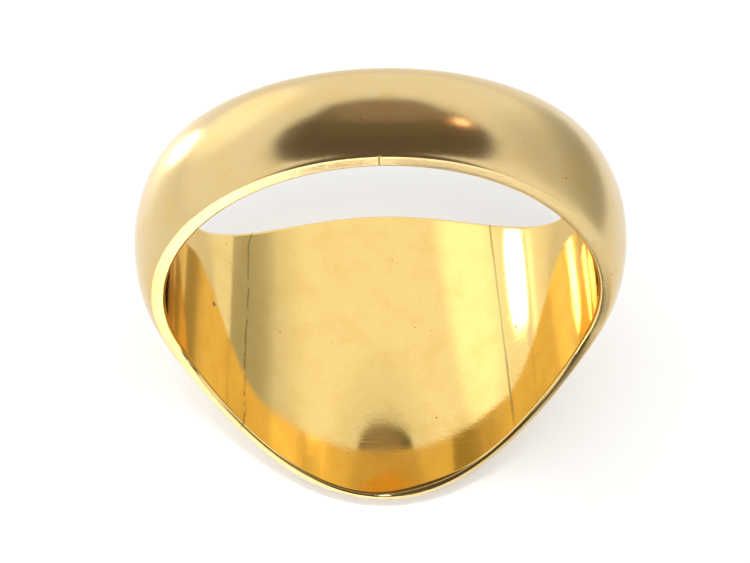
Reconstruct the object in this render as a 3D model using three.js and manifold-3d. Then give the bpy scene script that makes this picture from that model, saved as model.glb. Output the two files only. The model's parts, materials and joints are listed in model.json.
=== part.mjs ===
// A gold signet ring lying on its face. A solid head with a flat, blank face is hard-soldered to
// the two halves of a tapering shank, and the halves are soldered to each other at the back.
//
// Millimetres, +Z up. The origin is the centre of the flat face, which is the ring's lowest plane.
// +Y runs along the finger and +X across it. A place round the ring is an angle from the middle of
// the head: 0 at the face, positive towards +X, and 180 degrees at the back of the shank.

import * as THREE from 'three';
import { mergeVertices } from 'three/addons/utils/BufferGeometryUtils.js';
import Module from 'manifold-3d';

const wasm = await Module();
wasm.setup();

// ---- driving dimensions ----

const DEGREE = Math.PI / 180;

// the finger hole and the metal round it
const HOLE_RADIUS = 9.5;        // 19.0 mm inside diameter, a US size 9
const FACE_THICKNESS = 1.6;     // between the hole and the middle of the face
const SHANK_THICKNESS = 1.5;    // between the hole and the shank's crown
const FACE_HALF_WIDTH = 7.4;    // from the middle of the face to its corner, across the finger

// half the ring's length along the finger, at the hole
const BACK_HALF_LENGTH = 1.95;  // at the back of the shank
const TAPER = 2.2;              // what the shank gains from its back to the head
const FLARE = 3.85;             // what the shoulders add at the head
const FLARE_END = 79 * DEGREE;  // where the shoulders begin

// the cross-section
const EDGE_CHAMFER = 0.2;       // at the rim of the hole
const SIDE_WALL_BACK = 0.7;     // flat side wall at the back of the shank
const SIDE_WALL_HEAD = 0.25;    // the same at the head
const CROWN_POWER = 0.78;       // 0.5 is an ellipse, 1 is a parabola
const BLANK_HEIGHT = 15.4;      // from the hole's axis to the head's crown, before its face is cut flat
const BLANK_BLEND = 3;          // how gently the straight shoulders turn into that crown

// the soldered joints
const LEFT_JOINT = -45.4 * DEGREE;
const RIGHT_JOINT = 39.6 * DEGREE;
const BACK_JOINT = 180 * DEGREE;
const SEAM_WIDTH = 0.15;

// how finely the curves are divided
const STATION_STEP = 4 * DEGREE;
const CROWN_SEGMENTS = 18;

// ---- worked out from them ----

const HOLE_HEIGHT = HOLE_RADIUS + FACE_THICKNESS;
const CROWN_RADIUS = HOLE_RADIUS + SHANK_THICKNESS;
const CORNER_ANGLE = Math.atan2(FACE_HALF_WIDTH, HOLE_HEIGHT);
const CORNER_RADIUS = Math.hypot(FACE_HALF_WIDTH, HOLE_HEIGHT);
// a straight shoulder leaves the round shank here and meets the face at its corner
const TANGENT_ANGLE = CORNER_ANGLE + Math.acos(CROWN_RADIUS / CORNER_RADIUS);
const HALF_SEAM = SEAM_WIDTH / 2 / (HOLE_RADIUS + SHANK_THICKNESS / 2);

// ---- the ring's shape ----

function halfLength(angle) {
  const fromFace = Math.abs(angle);
  const frontness = (1 + Math.cos(angle)) / 2;
  const flare = fromFace < FLARE_END ? Math.cos(Math.PI / 2 * fromFace / FLARE_END) ** 2 : 0;
  return BACK_HALF_LENGTH + TAPER * frontness + FLARE * flare;
}

function sideWall(angle) {
  const frontness = (1 + Math.cos(angle)) / 2;
  return SIDE_WALL_BACK + (SIDE_WALL_HEAD - SIDE_WALL_BACK) * frontness ** 1.5;
}

function smoothMinimum(a, b, blend) {
  const nearness = Math.max(blend - Math.abs(a - b), 0) / blend;
  return Math.min(a, b) - nearness ** 2 * blend / 4;
}

function crownRadius(angle) {
  const fromFace = Math.abs(angle);
  if (fromFace > TANGENT_ANGLE) return CROWN_RADIUS;
  const shoulder = CROWN_RADIUS / Math.cos(TANGENT_ANGLE - fromFace);
  return smoothMinimum(shoulder, BLANK_HEIGHT / Math.cos(angle), BLANK_BLEND);
}

// A closed outline of [along the finger, distance from the hole's axis] pairs, anticlockwise.
function crossSection(angle) {
  const inner = halfLength(angle);
  const outer = inner + EDGE_CHAMFER;
  const wallTop = HOLE_RADIUS + sideWall(angle);
  const crown = crownRadius(angle);
  const outline = [
    [-inner, HOLE_RADIUS],
    [inner, HOLE_RADIUS],
    [outer, HOLE_RADIUS + EDGE_CHAMFER],
  ];
  for (let i = 0; i <= CROWN_SEGMENTS; i++) {
    const across = Math.cos(Math.PI * i / CROWN_SEGMENTS);
    const rise = Math.max(1 - across * across, 0) ** CROWN_POWER;
    outline.push([outer * across, wallTop + (crown - wallTop) * rise]);
  }
  outline.push([-outer, HOLE_RADIUS + EDGE_CHAMFER]);
  return outline;
}

function onRing(angle, [along, radius]) {
  return [radius * Math.sin(angle), along, HOLE_HEIGHT - radius * Math.cos(angle)];
}

// The closed body that the cross-section sweeps between two angles.
function sweep(start, end) {
  const steps = Math.max(1, Math.round((end - start) / STATION_STEP));
  const positions = [];
  for (let i = 0; i <= steps; i++) {
    const angle = start + (end - start) * i / steps;
    for (const point of crossSection(angle)) positions.push(...onRing(angle, point));
  }
  const startOutline = crossSection(start);
  const endOutline = crossSection(end);
  const count = startOutline.length;
  const faces = [];
  for (let i = 0; i < steps; i++) {
    for (let j = 0; j < count; j++) {
      const here = i * count + j;
      const next = i * count + (j + 1) % count;
      faces.push(here, here + count, next, next, here + count, next + count);
    }
  }
  const cap = (outline) => THREE.ShapeUtils.triangulateShape(outline.map(p => new THREE.Vector2(...p)), []);
  for (const [a, b, c] of cap(startOutline)) faces.push(a, b, c);
  for (const [a, b, c] of cap(endOutline)) {
    const offset = steps * count;
    faces.push(offset + a, offset + c, offset + b);
  }
  const geometry = new THREE.BufferGeometry();
  geometry.setAttribute('position', new THREE.Float32BufferAttribute(positions, 3));
  geometry.setIndex(faces);
  return geometry;
}

// ---- cutting ----

function toSolid(geometry) {
  const bare = geometry.clone();
  bare.deleteAttribute('normal');
  bare.deleteAttribute('uv');
  const merged = mergeVertices(bare);
  return new wasm.Manifold(new wasm.Mesh({
    numProp: 3,
    vertProperties: new Float32Array(merged.attributes.position.array),
    triVerts: new Uint32Array(merged.index.array),
  }));
}

function toGeometry(solid) {
  const mesh = solid.getMesh();
  const geometry = new THREE.BufferGeometry();
  geometry.setAttribute('position', new THREE.Float32BufferAttribute(mesh.vertProperties, 3));
  geometry.setIndex(new THREE.BufferAttribute(mesh.triVerts, 1));
  return geometry;
}

// ---- the pieces ----

const goldMaterial = () => new THREE.MeshStandardMaterial({
  color: 0xf2c878, roughness: 0.12, metalness: 1,
});
const solderMaterial = () => new THREE.MeshStandardMaterial({
  color: 0xa07a3c, roughness: 0.45, metalness: 1,
});

function headGeometry() {
  const blank = toSolid(sweep(LEFT_JOINT + HALF_SEAM, RIGHT_JOINT - HALF_SEAM));
  const waste = new THREE.BoxGeometry(4 * HOLE_RADIUS, 4 * HOLE_RADIUS, 2 * HOLE_RADIUS);
  waste.translate(0, 0, -HOLE_RADIUS);
  return toGeometry(blank.subtract(toSolid(waste)));
}

const seamGeometry = (joint) => sweep(joint - HALF_SEAM, joint + HALF_SEAM);

function piece(name, geometry, material) {
  geometry.computeVertexNormals();
  const mesh = new THREE.Mesh(geometry, material);
  mesh.name = name;
  return mesh;
}

const ring = new THREE.Group();
ring.add(
  piece('signet_head', headGeometry(), goldMaterial()),
  piece('shank_left', sweep(-BACK_JOINT + HALF_SEAM, LEFT_JOINT - HALF_SEAM), goldMaterial()),
  piece('shank_right', sweep(RIGHT_JOINT + HALF_SEAM, BACK_JOINT - HALF_SEAM), goldMaterial()),
  piece('solder_seam_left', seamGeometry(LEFT_JOINT), solderMaterial()),
  piece('solder_seam_right', seamGeometry(RIGHT_JOINT), solderMaterial()),
  piece('solder_seam_back', seamGeometry(BACK_JOINT), solderMaterial()),
);

export default ring;
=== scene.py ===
"""The looks of a gold signet ring that lies on its face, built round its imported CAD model.

Everything is in metres in the CAD's frame: +Z up, +Y along the finger, and the origin at the
centre of the flat face. A place round the ring is an angle from the middle of the head: 0 at the
face, positive towards +X, and pi at the back of the shank.
"""

import json
import math

import bpy
import numpy as np
from mathutils import Matrix, Vector


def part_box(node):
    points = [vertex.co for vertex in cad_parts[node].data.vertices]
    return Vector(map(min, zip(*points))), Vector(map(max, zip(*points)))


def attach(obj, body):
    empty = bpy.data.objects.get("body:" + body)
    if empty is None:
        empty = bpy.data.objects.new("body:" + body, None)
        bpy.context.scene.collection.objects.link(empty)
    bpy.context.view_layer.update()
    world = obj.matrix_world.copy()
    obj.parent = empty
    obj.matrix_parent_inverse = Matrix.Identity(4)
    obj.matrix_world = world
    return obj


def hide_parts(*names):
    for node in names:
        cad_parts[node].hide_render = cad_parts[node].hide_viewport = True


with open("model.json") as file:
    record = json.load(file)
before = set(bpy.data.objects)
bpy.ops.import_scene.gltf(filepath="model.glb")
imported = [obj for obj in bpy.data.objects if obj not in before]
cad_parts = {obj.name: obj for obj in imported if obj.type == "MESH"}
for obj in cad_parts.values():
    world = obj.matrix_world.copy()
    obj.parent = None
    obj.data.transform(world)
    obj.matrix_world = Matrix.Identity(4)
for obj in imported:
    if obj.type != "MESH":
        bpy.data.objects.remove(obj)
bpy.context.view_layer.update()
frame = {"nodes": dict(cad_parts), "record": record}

MM = 0.001
DEGREE = math.pi / 180

# ---- the ring's size, read from the CAD model ----

(finger_hole,) = frame["record"]["physics"]["openings"]
HOLE_HEIGHT = (finger_hole["box_m"][0][2] + finger_hole["box_m"][1][2]) / 2


def ring_points(*nodes):
    """The nodes' vertices as rows of angle round the ring, place along the finger, and radius."""
    points = np.array([v.co for n in nodes for v in frame["nodes"][n].data.vertices])
    across, up = points[:, 0], points[:, 2] - HOLE_HEIGHT
    return np.column_stack([np.arctan2(across, -up), points[:, 1], np.hypot(across, up)])


def joint_angle(node):
    angles = np.abs(ring_points(node)[:, 0])
    return float(angles.mean())


all_points = ring_points(*frame["nodes"])
HOLE_RADIUS = float(all_points[:, 2].min())
CROWN_RADIUS = float(ring_points("solder_seam_back")[:, 2].max())
hole_wall = all_points[all_points[:, 2] < HOLE_RADIUS + 0.001 * MM]


def wall_half_length(angle):
    """Half the hole wall's length along the finger at an angle round the ring."""
    nearest = hole_wall[np.argsort(np.abs(np.abs(hole_wall[:, 0]) - angle), kind="stable")[:4]]
    return float(np.abs(nearest[:, 1]).max())


BACK_HALF_LENGTH = wall_half_length(math.pi)
TAPER = 2 * (wall_half_length(math.pi / 2) - BACK_HALF_LENGTH)
FLARE = wall_half_length(0) - BACK_HALF_LENGTH - TAPER
LEFT_JOINT = -joint_angle("solder_seam_left")
RIGHT_JOINT = joint_angle("solder_seam_right")
BACK_JOINT = math.pi
seam_low, seam_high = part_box("solder_seam_back")
HALF_SEAM = (seam_high.x - seam_low.x) / 2 / CROWN_RADIUS

head_points = np.array([v.co for v in frame["nodes"]["signet_head"].data.vertices])
face_points = head_points[head_points[:, 2] < 0.01 * MM]
FACE_HALF_WIDTH = float(np.abs(face_points[:, 0]).max())
CORNER_ANGLE = math.atan2(FACE_HALF_WIDTH, HOLE_HEIGHT)
TANGENT_ANGLE = CORNER_ANGLE + math.acos(CROWN_RADIUS / math.hypot(FACE_HALF_WIDTH, HOLE_HEIGHT))

# ---- the cross-section, as in the CAD model but with rounded edges ----

FLARE_END = 79 * DEGREE
RIM_CHAMFER = 0.2 * MM
RIM_ROUNDING = 0.2 * MM
WORN_RIM_ROUNDING = 0.38 * MM
WORN_RIM_ANGLE = 11 * DEGREE
WORN_RIM_REACH = 12 * DEGREE
SIDE_WALL_BACK = 0.7 * MM
SIDE_WALL_HEAD = 0.25 * MM
CROWN_POWER = 0.78
BLANK_HEIGHT = 15.4 * MM
BLANK_BLEND = 3 * MM
FACE_ROUNDING = 0.3 * MM
HOLE_STEPS = 24
RIM_STEPS = 8
WALL_STEPS = 4
CROWN_STEPS = 150
STATION_STEP = 1 * DEGREE
EDGE_SUPPORT = 0.01 * MM


def half_length(angle):
    from_face = abs(angle)
    flare = math.cos(math.pi / 2 * from_face / FLARE_END) ** 2 if from_face < FLARE_END else 0
    return BACK_HALF_LENGTH + TAPER * (1 + math.cos(angle)) / 2 + FLARE * flare


def side_wall(angle):
    frontness = (1 + math.cos(angle)) / 2
    return SIDE_WALL_BACK + (SIDE_WALL_HEAD - SIDE_WALL_BACK) * frontness**1.5


def smooth_minimum(a, b, rounding):
    blend = max(rounding - abs(a - b), 0) / rounding
    return min(a, b) - blend * blend * rounding / 4


def rim_rounding(angle, side):
    """The near rim, on side -1, is worn rounder just right of the head's middle."""
    wear = math.exp(-((angle - WORN_RIM_ANGLE) / WORN_RIM_REACH) ** 2) if side < 0 else 0
    return RIM_ROUNDING + (WORN_RIM_ROUNDING - RIM_ROUNDING) * wear


def wall_top(angle, side):
    return HOLE_RADIUS + max(side_wall(angle), rim_rounding(angle, side) + EDGE_SUPPORT)


def outer_radius(angle, across):
    """Distance from the hole's axis to the outside, across running from -1 to 1 over the crown."""
    from_face = abs(angle)
    crown = CROWN_RADIUS
    if from_face < TANGENT_ANGLE:
        shoulder = CROWN_RADIUS / math.cos(TANGENT_ANGLE - from_face)
        crown = smooth_minimum(shoulder, BLANK_HEIGHT / math.cos(angle), BLANK_BLEND)
    base = wall_top(angle, across)
    radius = base + (crown - base) * max(1 - across * across, 0) ** CROWN_POWER
    if from_face < TANGENT_ANGLE:
        radius = smooth_minimum(radius, HOLE_HEIGHT / math.cos(angle), FACE_ROUNDING)
    return radius


def edge_profile(angle, side, outer, notch):
    """From the hole wall round the rim and up the side wall, for the far side (1) or near side (-1)."""
    rounding = rim_rounding(angle, side)
    points = [(outer - rounding - EDGE_SUPPORT, HOLE_RADIUS)]
    for i in range(RIM_STEPS + 1):
        turn = math.pi / 2 * i / RIM_STEPS
        points.append((
            outer - rounding * (1 - math.sin(turn)) - notch * math.sin(turn),
            HOLE_RADIUS + rounding * (1 - math.cos(turn)),
        ))
    bottom, top = HOLE_RADIUS + rounding, wall_top(angle, side)
    for i in range(1, WALL_STEPS):
        points.append((outer - notch, bottom + (top - bottom) * i / WALL_STEPS))
    return [(side * along, radius) for along, radius in points]


def cross_section(angle, notch):
    """A closed outline of (along the finger, radius) pairs. The notch sinks the side walls."""
    outer = half_length(angle) + RIM_CHAMFER
    far_edge = edge_profile(angle, 1, outer, notch)
    near_edge = edge_profile(angle, -1, outer, notch)
    start, end = near_edge[0][0], far_edge[0][0]
    hole = [(start + (end - start) * i / HOLE_STEPS, HOLE_RADIUS) for i in range(1, HOLE_STEPS)]
    crown = []
    for i in range(CROWN_STEPS + 1):
        across = math.cos(math.pi * i / CROWN_STEPS)
        along = min(outer - notch, max(notch - outer, outer * across))
        crown.append((along, outer_radius(angle, across)))
    return hole + far_edge + crown + near_edge[::-1]


def slide(station, angle, along, radius):
    """Move a point of a station's outline to a nearby angle, keeping it on the ring's surface."""
    outer = half_length(station) + RIM_CHAMFER
    across = max(-1, min(1, along / outer))
    if radius > wall_top(station, across):
        radius += outer_radius(angle, across) - outer_radius(station, across)
    return along * (half_length(angle) + RIM_CHAMFER) / outer, radius


def on_ring(angle, along, radius):
    return (radius * math.sin(angle), along, HOLE_HEIGHT - radius * math.cos(angle))


# ---- building the pieces ----

WAVE_REACH = 3 * DEGREE          # how far from a joint its waves die out
END_SUPPORT = 0.05 * DEGREE      # an extra station this near each end keeps the shading straight
SHARP_ANGLE = 60 * DEGREE
EDGE_WEAR_REACH = 0.35 * MM

# the joints' uneven lines: (swing in degrees, radians per mm along the finger)
LEFT_SLOW_WAVE = (0.25, 1.1)
LEFT_QUICK_WAVE = (0.1, 3.7)
LEFT_CURL = (2.2, 4.7)           # degrees per square mm, and where it starts in mm
RIGHT_SLANT = -0.25              # degrees per mm
RIGHT_WAVE = (0.05, 2.3)
BACK_WAVE = (0.1, 2.1)


def swing(wave, along):
    size, pace = wave
    return size * math.sin(along / MM * pace)


def left_wave(along):
    """A slow wave, a quick one, and a curl towards the head near the far edge."""
    rate, curl_start = LEFT_CURL
    curl = rate * max(0, along / MM - curl_start) ** 2
    return (swing(LEFT_SLOW_WAVE, along) + swing(LEFT_QUICK_WAVE, along) + curl) * DEGREE


def right_wave(along):
    return (RIGHT_SLANT * along / MM + swing(RIGHT_WAVE, along)) * DEGREE


def back_wave(along):
    return swing(BACK_WAVE, along) * DEGREE


def sweep(name, start, end, start_wave, end_wave, notch=0.0):
    """A closed mesh that the cross-section sweeps. The waves make its two ends uneven.

    Its point attributes are "ring" (mm round, along and out of the hole wall), "outside" (0 on the
    hole wall, 1 past the rim), "edge" (1 at the ring's side walls) and "core" (1 halfway between
    the two ends).
    """
    pace = (end - start) / max(2, round((end - start) / STATION_STEP))
    middle = np.arange(start + pace, end - pace / 2, pace)
    stations = [start, start + END_SUPPORT, *middle, end - END_SUPPORT, end]
    reach = min(WAVE_REACH, end - start)
    vertices, coordinates, outside, edge, core = [], [], [], [], []
    for station in stations:
        outline = cross_section(station, notch)
        for along, radius in outline:
            angle = station + start_wave(along) * max(0, 1 - (station - start) / reach)
            angle += end_wave(along) * max(0, 1 - (end - station) / reach)
            if angle != station:
                along, radius = slide(station, angle, along, radius)
            vertices.append(on_ring(angle, along, radius))
            depth = radius - HOLE_RADIUS
            coordinates += [angle * HOLE_RADIUS / MM, along / MM, depth / MM]
            outside.append(min(1, depth / RIM_CHAMFER))
            from_edge = half_length(angle) + RIM_CHAMFER - abs(along)
            edge.append(max(0, 1 - from_edge / EDGE_WEAR_REACH) if depth > EDGE_SUPPORT else 0)
            core.append(1 - abs(2 * (station - start) / (end - start) - 1))
    count = len(outline)
    steps = len(stations) - 1
    faces = []
    for i in range(steps):
        for j in range(count):
            here, following = i * count + j, i * count + (j + 1) % count
            faces.append((here, here + count, following + count, following))
    faces.append(tuple(range(count)))
    faces.append(tuple(steps * count + j for j in reversed(range(count))))
    mesh = bpy.data.meshes.new(name)
    mesh.from_pydata(vertices, [], faces)
    mesh.attributes.new("ring", "FLOAT_VECTOR", "POINT").data.foreach_set("vector", coordinates)
    for attribute, values in (("outside", outside), ("edge", edge), ("core", core)):
        mesh.attributes.new(attribute, "FLOAT", "POINT").data.foreach_set("value", values)
    mesh.shade_smooth()
    mesh.set_sharp_from_angle(angle=SHARP_ANGLE)
    piece = bpy.data.objects.new(name, mesh)
    bpy.context.scene.collection.objects.link(piece)
    return piece


# ---- materials ----

def add_node(tree, kind, settings=None, inputs=None):
    """A node with its settings, and its inputs linked to sockets or set to values."""
    node = tree.nodes.new(kind)
    for name, value in (settings or {}).items():
        setattr(node, name, value)
    for name, value in (inputs or {}).items():
        if isinstance(value, bpy.types.NodeSocket):
            tree.links.new(value, node.inputs[name])
        else:
            node.inputs[name].default_value = value
    return node


def add_math(tree, operation, first, second):
    return add_node(tree, "ShaderNodeMath", {"operation": operation}, {0: first, 1: second}).outputs[0]


def add_ramp(tree, value, low, high, bottom=0.0, top=1.0):
    """A smooth step: bottom where the value is low, and top where it is high."""
    return add_node(tree, "ShaderNodeMapRange", {"interpolation_type": "SMOOTHSTEP"}, {
        "Value": value, "From Min": low, "From Max": high, "To Min": bottom, "To Max": top,
    }).outputs[0]


def add_blend(tree, share, first, second):
    """A colour between two colours."""
    node = add_node(tree, "ShaderNodeMix", {"data_type": "RGBA"}, {0: share})
    for socket, value in ((node.inputs[6], first), (node.inputs[7], second)):
        if isinstance(value, bpy.types.NodeSocket):
            tree.links.new(value, socket)
        else:
            socket.default_value = (*value, 1)
    return node.outputs[2]


def add_noise(tree, place, per_mm, detail=3.0, roughness=0.5):
    return add_node(tree, "ShaderNodeTexNoise", {}, {
        "Vector": place, "Scale": per_mm, "Detail": detail, "Roughness": roughness,
    }).outputs[0]


def add_hairlines(tree, place, turn, fineness, share):
    """Broken straight hairlines at a turn in the surface, covering about a share of it."""
    stretched = add_node(tree, "ShaderNodeMapping", {}, {
        "Vector": place, "Rotation": (0, 0, turn), "Scale": (HAIRLINE_STRETCH, fineness, fineness),
    }).outputs[0]
    noise = add_noise(tree, stretched, 1.0, 1.0)
    lines = add_ramp(tree, noise, 1 - share - HAIRLINE_FADE, 1 - share)
    patches = add_ramp(tree, add_noise(tree, stretched, HAIRLINE_BREAKS, 2.0), *BREAK_RAMP)
    return add_math(tree, "MULTIPLY", lines, patches)


def add_specks(tree, place, per_mm, radius):
    """Small round specks, in a share of the cells."""
    cells = add_node(tree, "ShaderNodeTexVoronoi", {}, {"Vector": place, "Scale": per_mm})
    spot = add_ramp(tree, cells.outputs["Distance"], 0.6 * radius * per_mm, radius * per_mm, 1.0, 0.0)
    red = add_node(tree, "ShaderNodeSeparateColor", {}, {0: cells.outputs["Color"]}).outputs[0]
    return add_math(tree, "MULTIPLY", spot, add_math(tree, "GREATER_THAN", red, 1 - SPECK_SHARE))


def add_mark(tree, place, angle, along, radius):
    """One ragged mark at a place on the hole wall."""
    centre = (angle * HOLE_RADIUS / MM, along / MM, 0)
    distance = add_node(tree, "ShaderNodeVectorMath", {"operation": "DISTANCE"}, {
        0: place, 1: centre}).outputs["Value"]
    raggedness = add_math(tree, "MULTIPLY", add_noise(tree, place, MARK_RAGGEDNESS), radius / MM)
    ragged = add_math(tree, "ADD", distance, raggedness)
    return add_ramp(tree, ragged, radius / MM, 1.5 * radius / MM, 1.0, 0.0)


# the second colour is a darker, paler copy of the first: painted shade that stands in for the dimmer
# reflections on the ring's outside
INSIDE_GOLD = (0.85, 0.61, 0.215)
SHADED_OUTSIDE_GOLD = (0.69, 0.525, 0.255)
RED_GOLD = (0.74, 0.47, 0.13)
TARNISH = (0.20, 0.13, 0.05)
STAIN_STRENGTH = 0.85
INSIDE_ROUGHNESS = 0.055
OUTSIDE_ROUGHNESS = 0.2
RELIEF = 0.0025 * MM
SEAM_RELIEF_STRENGTH = 0.3
SEAM_DULLNESS = 0.2

# sizes of the patterns, per mm
CLOUDS = 0.55
GRAIN = 7.0
NICKS = 2.6
SEAM_PATCHES = 0.9
MARK_RAGGEDNESS = 9.0

# ramps: where the pattern starts to count, where it counts fully, and what it gives there
CLOUD_TINT = (0.42, 0.75, 0.0, 0.45)
CLOUD_DULLNESS = (0.4, 0.75, 0.0, 0.05)
GRAIN_TINT = (0.45, 0.75, 0.0, 0.3)
SOLDER_GRAIN_TINT = (0.5, 0.85, 0.0, 0.22)
NICK_RAMP = (0.56, 0.68)

# hairlines: (turn in radians, lines per mm, threshold share)
HAIRLINE_LAYERS = ((0.35, 14.0, 0.33), (1.9, 18.0, 0.31), (2.7, 12.0, 0.3), (1.2, 22.0, 0.3))
HAIRLINE_STRETCH = 0.35
HAIRLINE_FADE = 0.06
HAIRLINE_BREAKS = 0.37
BREAK_RAMP = (0.5, 0.62)

# pits: (cells per mm, radius in mm)
PITS = ((1.1, 0.05), (2.3, 0.028))
SPECK_SHARE = 0.25

# what each kind of wear adds to the roughness, and how deep it is as a share of the relief
HAIRLINE_WEAR = (0.03, 0.07)
STAIN_WEAR = (0.25, 1.0)
NICK_WEAR = (0.05, 0.6)
GRAIN_DEPTH = 0.3

# the tarnished line in a solder joint: its broken patches, and how it fades in from the joint's
# sides, from the hole to the outside, and out along the finger
PATCH_START = 0.6
PATCH_GAIN = 0.35
PATCH_FADE = 0.12
LINE_AT_EDGE = (0.6, 0.95)
LINE_IN_HOLE = (0.5, 1.0, 1.0, 0.25)
SEAM_MARGIN = (0.25, 0.75)
WIDE_SEAM_MARGIN = (0.0, 0.35)
SEAM_FADE = 3.0                  # mm over which it fades out
NO_END = -20.0                   # mm along the finger, past the ring's near rim
RIGHT_LINE_END = -6.5

# (angle round the ring, place along the finger, radius)
MARKS = (
    (-59.4 * DEGREE, 0.2 * MM, 0.16 * MM),
    (-60.6 * DEGREE, 0.35 * MM, 0.04 * MM),
    (44.7 * DEGREE, -0.5 * MM, 0.1 * MM),
)


def add_attribute(tree, name, output="Fac"):
    return add_node(tree, "ShaderNodeAttribute", {"attribute_name": name}).outputs[output]


def start_metal(name):
    """A metal material, its node tree and its shader."""
    material = bpy.data.materials.new(name)
    material.use_nodes = True
    shader = material.node_tree.nodes["Principled BSDF"]
    shader.inputs["Metallic"].default_value = 1
    return material, material.node_tree, shader


def add_red_tint(tree, colour, pattern, ramp):
    return add_blend(tree, add_ramp(tree, pattern, *ramp), colour, RED_GOLD)


def add_relief(tree, shader, height, strength):
    bump = add_node(tree, "ShaderNodeBump", {}, {
        "Height": height, "Strength": strength, "Distance": RELIEF})
    tree.links.new(bump.outputs[0], shader.inputs["Normal"])


def gold_material():
    """Polished gold with clouds, grain, hairlines, pits, a few marks, nicks at the edges, and painted
    shade outside the hole.
    """
    material, tree, shader = start_metal("polished_gold")
    place = add_attribute(tree, "ring", "Vector")
    outside = add_attribute(tree, "outside")

    clouds = add_noise(tree, place, CLOUDS, 4.0, 0.6)
    grain = add_noise(tree, place, GRAIN, 3.0, 0.6)
    hairlines = 0.0
    for layer in HAIRLINE_LAYERS:
        hairlines = add_math(tree, "MAXIMUM", add_hairlines(tree, place, *layer), hairlines)
    stains = 0.0
    for pit in PITS:
        stains = add_math(tree, "MAXIMUM", add_specks(tree, place, *pit), stains)
    for mark in MARKS:
        stains = add_math(tree, "MAXIMUM", add_mark(tree, place, *mark), stains)
    ragged = add_ramp(tree, add_noise(tree, place, NICKS, 4.0, 0.7), *NICK_RAMP)
    nicks = add_math(tree, "MULTIPLY", add_attribute(tree, "edge"), ragged)

    # past the rim the gold turns to its darker, paler copy: painted shade on the outside
    colour = add_blend(tree, outside, INSIDE_GOLD, SHADED_OUTSIDE_GOLD)
    colour = add_red_tint(tree, colour, clouds, CLOUD_TINT)
    colour = add_red_tint(tree, colour, grain, GRAIN_TINT)
    colour = add_blend(tree, add_math(tree, "MULTIPLY", stains, STAIN_STRENGTH), colour, TARNISH)
    tree.links.new(colour, shader.inputs["Base Color"])

    roughness = add_ramp(tree, outside, 0.0, 1.0, INSIDE_ROUGHNESS, OUTSIDE_ROUGHNESS)
    dullness = add_ramp(tree, clouds, *CLOUD_DULLNESS)
    roughness = add_math(tree, "ADD", roughness, dullness)
    height = add_math(tree, "MULTIPLY", grain, GRAIN_DEPTH)
    for wear, (gain, depth) in (
        (hairlines, HAIRLINE_WEAR), (stains, STAIN_WEAR), (nicks, NICK_WEAR),
    ):
        roughness = add_math(tree, "ADD", roughness, add_math(tree, "MULTIPLY", wear, gain))
        height = add_math(tree, "SUBTRACT", height, add_math(tree, "MULTIPLY", wear, depth))
    tree.links.new(roughness, shader.inputs["Roughness"])
    add_relief(tree, shader, height, 1.0)
    return material


def solder_material(name, line, share, margin=SEAM_MARGIN, at_edge=False, near_end=NO_END):
    """Solder that matches the gold, with a broken tarnished line along a share of its middle.

    The line is only at the ring's side walls if at_edge is set, and otherwise mostly in the hole.
    It fades out towards near_end, a place along the finger in mm.
    """
    material, tree, shader = start_metal(name)
    place = add_attribute(tree, "ring", "Vector")
    outside = add_attribute(tree, "outside")
    grain = add_noise(tree, place, GRAIN, 3.0, 0.6)
    low = PATCH_START - PATCH_GAIN * share
    patches = add_noise(tree, place, SEAM_PATCHES, 3.0, 0.65)
    patches = add_ramp(tree, patches, low, low + PATCH_FADE)
    middle = add_ramp(tree, add_attribute(tree, "core"), *margin)
    tarnish = add_math(tree, "MULTIPLY", middle, patches)
    if at_edge:
        limit = add_ramp(tree, add_attribute(tree, "edge"), *LINE_AT_EDGE)
    else:
        limit = add_ramp(tree, outside, *LINE_IN_HOLE)
    tarnish = add_math(tree, "MULTIPLY", tarnish, limit)
    along = add_node(tree, "ShaderNodeSeparateXYZ", {}, {0: place}).outputs["Y"]
    fade = add_ramp(tree, along, near_end, near_end + SEAM_FADE)
    tarnish = add_math(tree, "MULTIPLY", tarnish, fade)

    # past the rim the solder turns to the gold's darker, paler copy: painted shade on the outside
    colour = add_blend(tree, outside, INSIDE_GOLD, SHADED_OUTSIDE_GOLD)
    colour = add_red_tint(tree, colour, grain, SOLDER_GRAIN_TINT)
    tree.links.new(add_blend(tree, tarnish, colour, line), shader.inputs["Base Color"])
    roughness = add_ramp(tree, outside, 0.0, 1.0, INSIDE_ROUGHNESS, OUTSIDE_ROUGHNESS)
    dullness = add_math(tree, "MULTIPLY", tarnish, SEAM_DULLNESS)
    tree.links.new(add_math(tree, "ADD", roughness, dullness), shader.inputs["Roughness"])
    add_relief(tree, shader, grain, SEAM_RELIEF_STRENGTH)
    return material


gold = gold_material()
dark_solder = solder_material("tarnished_solder", (0.32, 0.26, 0.08), 0.6)
pale_solder = solder_material(
    "clean_solder", (0.36, 0.3, 0.11), 1.3, margin=WIDE_SEAM_MARGIN, near_end=RIGHT_LINE_END)
matched_solder = solder_material("matched_solder", (0.3, 0.24, 0.08), 1.2, at_edge=True)


# ---- the pieces ----

def finish_piece(piece, node, material):
    piece.data.materials.append(material)
    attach(piece, "root")
    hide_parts(node)


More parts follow.
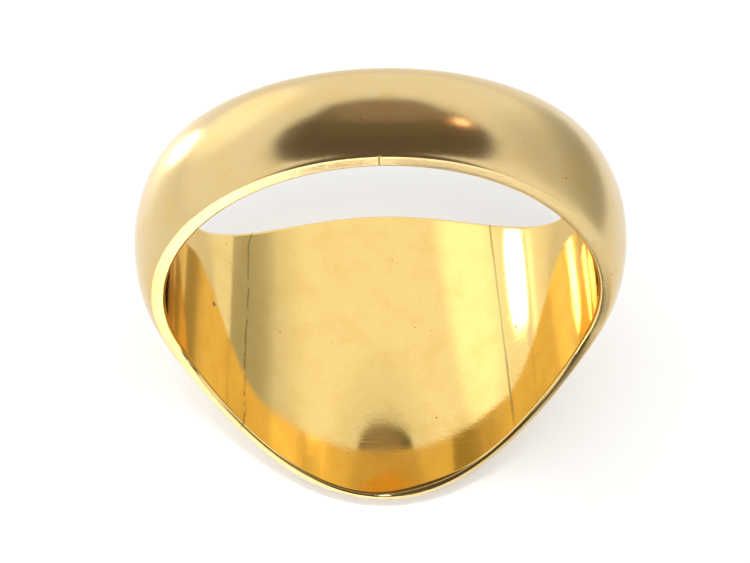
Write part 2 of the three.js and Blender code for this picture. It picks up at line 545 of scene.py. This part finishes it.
finish_piece(
    sweep("head", LEFT_JOINT + HALF_SEAM, RIGHT_JOINT - HALF_SEAM, left_wave, right_wave),
    "signet_head", gold)
finish_piece(
    sweep("left_shank", -BACK_JOINT + HALF_SEAM, LEFT_JOINT - HALF_SEAM, back_wave, left_wave),
    "shank_left", gold)
finish_piece(
    sweep("right_shank", RIGHT_JOINT + HALF_SEAM, BACK_JOINT - HALF_SEAM, right_wave, back_wave),
    "shank_right", gold)
for name, node, joint, wave, notch, solder in (
    ("left_solder", "solder_seam_left", LEFT_JOINT, left_wave, 0.006 * MM, dark_solder),
    ("right_solder", "solder_seam_right", RIGHT_JOINT, right_wave, 0.004 * MM, pale_solder),
    ("back_solder", "solder_seam_back", BACK_JOINT, back_wave, 0.02 * MM, matched_solder),
):
    seam = sweep(name, joint - HALF_SEAM, joint + HALF_SEAM, wave, wave, notch)
    finish_piece(seam, node, solder)

# ---- the stage ----

UP = Vector((0, 0, 1))
CORNERS = ((-1, -1), (1, -1), (1, 1), (-1, 1))

FLOOR_SIZE = 2.0
FLOOR_GAP = 0.02 * MM            # keeps the floor and the ring's face from sharing one plane
FLOOR_COLOUR = (0.78, 0.78, 0.776, 1)
FLOOR_ROUGHNESS = 0.9

# the sky: even white, with soft lobes of (azimuth, elevation, radius, what they add at their middle)
SKY = 1.16
SKY_LOBES = (
    (80 * DEGREE, 6 * DEGREE, 44 * DEGREE, -0.4),
)


def toward(azimuth, elevation):
    """A direction. The azimuth is measured from +Y, positive towards +X."""
    level = math.cos(elevation)
    return Vector((math.sin(azimuth) * level, math.cos(azimuth) * level, math.sin(elevation)))


def make_sheet(name, middle, side, top):
    """A flat sheet. The vectors side and top reach from its middle to its edges."""
    mesh = bpy.data.meshes.new(name)
    mesh.from_pydata([middle + side * x + top * y for x, y in CORNERS], [], [(0, 1, 2, 3)])
    sheet = bpy.data.objects.new(name, mesh)
    bpy.context.scene.collection.objects.link(sheet)
    return sheet


def make_floor():
    half = FLOOR_SIZE / 2
    floor = make_sheet("floor", UP * -FLOOR_GAP, Vector((half, 0, 0)), Vector((0, half, 0)))
    material = bpy.data.materials.new("white_paper")
    material.use_nodes = True
    shader = material.node_tree.nodes["Principled BSDF"]
    shader.inputs["Base Color"].default_value = FLOOR_COLOUR
    shader.inputs["Roughness"].default_value = FLOOR_ROUGHNESS
    floor.data.materials.append(material)


def make_sky():
    world = bpy.data.worlds.new("studio")
    world.use_nodes = True
    tree = world.node_tree
    direction = tree.nodes.new("ShaderNodeTexCoord").outputs["Generated"]
    strength = SKY
    for azimuth, elevation, radius, gain in SKY_LOBES:
        dot = add_node(tree, "ShaderNodeVectorMath", {"operation": "DOT_PRODUCT"}, {
            0: direction, 1: toward(azimuth, elevation)}).outputs["Value"]
        lobe = add_ramp(tree, dot, math.cos(radius), 1.0, 0.0, gain)
        strength = add_math(tree, "ADD", lobe, strength)
    tree.links.new(strength, tree.nodes["Background"].inputs["Strength"])
    tree.nodes["Background"].inputs["Color"].default_value = (1, 1, 1, 1)
    bpy.context.scene.world = world


def card_material(name, softness, glow, opacity, roundness):
    """An even glow that fades to nothing at the card's rounded edge."""
    material = bpy.data.materials.new(name)
    material.use_nodes = True
    tree = material.node_tree
    tree.nodes.clear()
    place = add_node(tree, "ShaderNodeUVMap").outputs[0]
    split = add_node(tree, "ShaderNodeSeparateXYZ", {}, {0: place})
    total = 0.0
    for axis in "XY":
        distance = add_math(tree, "ABSOLUTE", split.outputs[axis], 0.0)
        total = add_math(tree, "ADD", add_math(tree, "POWER", distance, roundness), total)
    edge = add_ramp(tree, total, 1 - softness, 1.0, opacity, 0.0)
    light = add_node(tree, "ShaderNodeEmission", {}, {"Color": (*glow, 1)})
    clear = add_node(tree, "ShaderNodeBsdfTransparent")
    mix = add_node(tree, "ShaderNodeMixShader", {}, {0: edge, 1: clear.outputs[0], 2: light.outputs[0]})
    add_node(tree, "ShaderNodeOutputMaterial", {}, {"Surface": mix.outputs[0]})
    return material


def soft_card(
    name, place, side, top, size, softness, glow, opacity=1.0, roundness=2.2, lights_floor=False,
):
    """A rounded card near the ring that fades out towards its edges. Only reflections see it."""
    width, height = size
    card = make_sheet(name, place, side * (width / 2), top * (height / 2))
    layer = card.data.uv_layers.new(name="card")
    for loop, corner in zip(layer.data, CORNERS):
        loop.uv = corner
    card.data.materials.append(card_material(name, softness, glow, opacity, roundness))
    card.visible_camera = False
    card.visible_shadow = False
    card.visible_diffuse = lights_floor


def standing_card(name, azimuth, distance, height, size, softness, glow, **options):
    """A card that stands up and faces the ring's upright middle line."""
    outward = toward(azimuth, 0)
    place = outward * distance + UP * height
    soft_card(name, place, outward.cross(UP), UP, size, softness, glow, **options)


def hanging_card(name, place, size, softness, glow, **options):
    """A level card that faces down, at a place in mm."""
    side, top = Vector((1, 0, 0)), Vector((0, -1, 0))
    soft_card(name, Vector(place) * MM, side, top, size, softness, glow, **options)


make_floor()
make_sky()

standing_card(
    "lamp", -53 * DEGREE, 47 * MM, 8 * MM, (10.5 * MM, 11 * MM), 0.8, (10.5, 10.2, 9.7),
    roundness=3.5, lights_floor=True)
standing_card(
    "white_card", -46 * DEGREE, 44 * MM, 30 * MM, (48 * MM, 36 * MM), 0.95, (1.62, 1.62, 1.58))
standing_card(
    "grey_card", 72 * DEGREE, 46 * MM, 7 * MM, (78 * MM, 42 * MM), 1.0, (0.5, 0.5, 0.46))
hanging_card(
    "lens", (2.4, -8.5, 44), (58.6 * MM, 44 * MM), 0.2, (0.125, 0.092, 0.07), roundness=2.7)
hanging_card(
    "lens_top", (0, 3.1, 36), (19.4 * MM, 16.2 * MM), 0.4, (0.15, 0.13, 0.08), roundness=4.0)
hanging_card(
    "lens_shade", (2, -3, 44.5), (64 * MM, 56 * MM), 0.9, (0.6, 0.6, 0.6), opacity=0.5)
hanging_card("lens_front", (1.2, 5.7, 35.9), (20 * MM, 13 * MM), 0.8, (0.36, 0.275, 0.21))
hanging_card("warm_lamp", (12.9, 3.7, 35.8), (3.1 * MM, 2.8 * MM), 0.8, (7.0, 4.2, 3.0))
standing_card(
    "photographer", 180 * DEGREE, 42 * MM, 36 * MM, (60 * MM, 44 * MM), 0.4, (0.13, 0.1, 0.08))
standing_card(
    "sparkle", 179 * DEGREE, 12.8 * MM, 4.6 * MM, (0.5 * MM, 1.2 * MM), 0.5, (25, 25, 24))
standing_card(
    "lens_hood", 163 * DEGREE, 13 * MM, 3.6 * MM, (19 * MM, 6.5 * MM), 0.4, (0.1, 0.085, 0.07))

# ---- the lights ----

# a soft light over the front, which brightens the floor
KEY_AZIMUTH = 179 * DEGREE
KEY_ELEVATION = 63 * DEGREE
KEY_DISTANCE = 0.4
KEY_SIZE = 0.05
KEY_ENERGY = 0.47

# a soft spot on the floor in front, which the ring's near side walls mirror
SPOT_PLACE = Vector((-6, -22, 100)) * MM
SPOT_AIM = Vector((-6, -20, 0)) * MM
SPOT_CONE = 15.5 * DEGREE
SPOT_RADIUS = 0.01
SPOT_ENERGY = 1.3


def make_light(name, kind, energy, place, aim):
    """The data of a new light that points from a place to its aim and isn't mirrored in the gold."""
    data = bpy.data.lights.new(name, kind)
    data.energy = energy
    light = bpy.data.objects.new(name, data)
    turn = (place - aim).to_track_quat("Z", "Y")
    light.matrix_world = Matrix.Translation(place) @ turn.to_matrix().to_4x4()
    light.visible_glossy = False
    bpy.context.scene.collection.objects.link(light)
    return data


key_place = toward(KEY_AZIMUTH, KEY_ELEVATION) * KEY_DISTANCE
key = make_light("key", "AREA", KEY_ENERGY, key_place, Vector())
key.size = KEY_SIZE
spot = make_light("front", "SPOT", SPOT_ENERGY, SPOT_PLACE, SPOT_AIM)
spot.spot_size = SPOT_CONE
spot.spot_blend = 1
spot.shadow_soft_size = SPOT_RADIUS

bpy.context.scene.view_settings.view_transform = "Standard"

# ---- the camera, fitted to the photo's outlines ----

CAMERA_DISTANCE = 57.2 * MM
CAMERA_ELEVATION = 58.3 * DEGREE
CAMERA_YAW = -0.59 * DEGREE
CAMERA_ROLL = -1.46 * DEGREE
CAMERA_AIM = Vector((-0.29, -1.0, -1.01)) * MM
CAMERA_LENS = 60.4
SENSOR_WIDTH = 36
CLIP_START = 0.001
CLIP_END = 10


def make_camera():
    hole = UP * HOLE_HEIGHT
    level = math.cos(CAMERA_ELEVATION)
    away = Vector((
        math.sin(CAMERA_YAW) * level, -math.cos(CAMERA_YAW) * level, math.sin(CAMERA_ELEVATION)))
    place = hole + away * CAMERA_DISTANCE
    forward = (hole + CAMERA_AIM - place).normalized()
    right = forward.cross(UP).normalized()
    up = right.cross(forward)
    turned_right = right * math.cos(CAMERA_ROLL) + up * math.sin(CAMERA_ROLL)
    turned_up = up * math.cos(CAMERA_ROLL) - right * math.sin(CAMERA_ROLL)
    data = bpy.data.cameras.new("camera")
    data.lens = CAMERA_LENS
    data.sensor_width = SENSOR_WIDTH
    data.clip_start = CLIP_START
    data.clip_end = CLIP_END
    camera = bpy.data.objects.new("camera", data)
    turn = Matrix((turned_right, turned_up, -forward)).transposed()
    camera.matrix_world = Matrix.Translation(place) @ turn.to_4x4()
    bpy.context.scene.collection.objects.link(camera)
    bpy.context.scene.camera = camera


make_camera()
